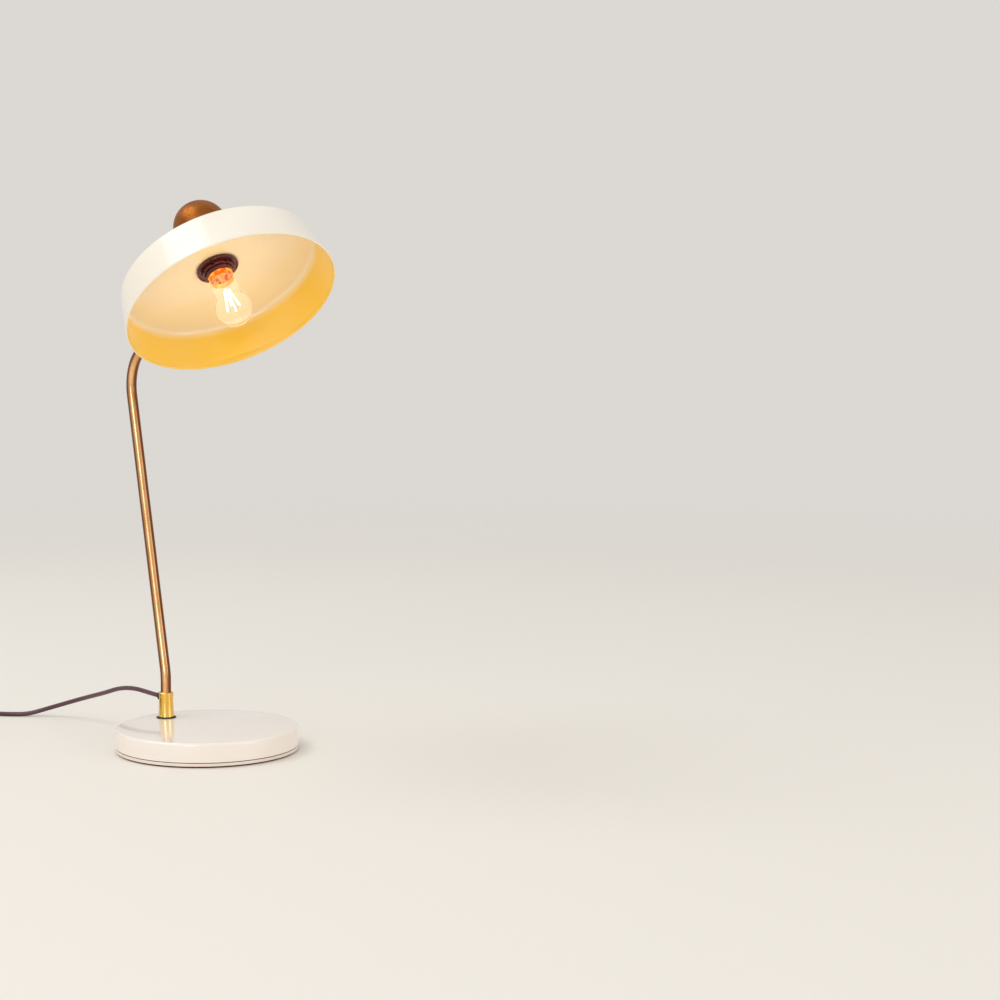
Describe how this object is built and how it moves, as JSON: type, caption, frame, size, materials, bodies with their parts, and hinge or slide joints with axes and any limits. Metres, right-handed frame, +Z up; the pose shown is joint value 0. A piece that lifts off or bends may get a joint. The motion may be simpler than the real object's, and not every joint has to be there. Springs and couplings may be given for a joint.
{
  "type": "desk lamp",
  "caption": "Desk lamp with a weighted drum base, a bent brass stem that turns in a ferrule, and a wide flared shade that tilts under a dome cap.",
  "frame": {"origin": "centre of the base's underside, on the table", "axes": "+Z up, +Y towards the ferrule and the lead at the rear of the base, so the shade leans out to the front"},
  "size_m": [0.3481, 0.4974, 0.5413],
  "materials": {
    "base_lacquer": "cream gloss lacquer",
    "stem_brass": "polished brass, slightly coppery",
    "cap_brass": "dark satin brass",
    "shade_lacquer": "cream gloss lacquer, lit golden inside",
    "holder_resin": "dark brown moulded resin",
    "black_plastic": "black, matt",
    "felt": "dark felt",
    "steel": "zinc plated",
    "iron": "as cast",
    "porcelain": "unglazed white",
    "contact_brass": "bright",
    "bulb_glass": "clear",
    "filament": "glowing warm white",
    "cord": "dark brown, satin",
    "switch_plastic": "dark brown moulded",
    "rocker_plastic": "dark moulded"
  },
  "bodies": {
    "base": {"base_cover": "base_lacquer", "base_pan": "base_lacquer", "felt_pad": "felt", "pan_screws": "steel", "ballast_disc": "iron", "foot_washer": "black_plastic", "ferrule": "stem_brass", "toothed_washer": "steel", "tail_nut": "steel", "lead_grommet": "black_plastic", "inlet_flex": "cord", "cord_lamp_run": "cord", "switch_lower_shell": "switch_plastic", "switch_upper_shell": "switch_plastic", "switch_cradle": "switch_plastic", "cord_coil_link": "cord", "cord_coil": "cord", "cord_plug_tail": "cord", "plug_body": "switch_plastic", "plug_pins": "contact_brass"},
    "stem": {"stem_tube": "stem_brass", "stem_yoke": "steel", "stem_flex": "cord"},
    "head": {"shade_shell": "shade_lacquer", "dome_cap": "cap_brass", "shade_gasket": "black_plastic", "shade_ring": "holder_resin", "holder_barrel": "holder_resin", "holder_cap": "holder_resin", "holder_insert": "porcelain", "socket_shell": "contact_brass", "centre_contact": "contact_brass", "terminal_screws": "contact_brass", "holder_nipple": "steel", "nipple_nuts": "steel", "cap_bridge": "steel", "pivot_screws": "cap_brass", "friction_washers": "black_plastic", "head_leads": "cord", "bulb_glass": "bulb_glass", "bulb_cap": "contact_brass", "bulb_mount": "bulb_glass", "filaments": "filament", "filament_support": "steel"},
    "rocker": {"switch_rocker": "rocker_plastic"}
  },
  "joints": [
    {"name": "stem_swivel", "type": "hinge", "parent": "base", "child": "stem", "pos_m": [0, 0.0641, 0.045], "axis": [0, 0, 1], "range_deg": [-30, 50]},
    {"name": "shade_tilt", "type": "hinge", "parent": "stem", "child": "head", "pos_m": [-0.01655, -0.01948, 0.5148], "axis": [0.981, -0.1942, 0], "range_deg": [-45, 20]},
    {"name": "switch_rocker_tilt", "type": "hinge", "parent": "base", "child": "rocker", "pos_m": [-0.112, 0.327, 0.0094], "axis": [0, -1, 0], "range_deg": [0, 14]}
  ]
}
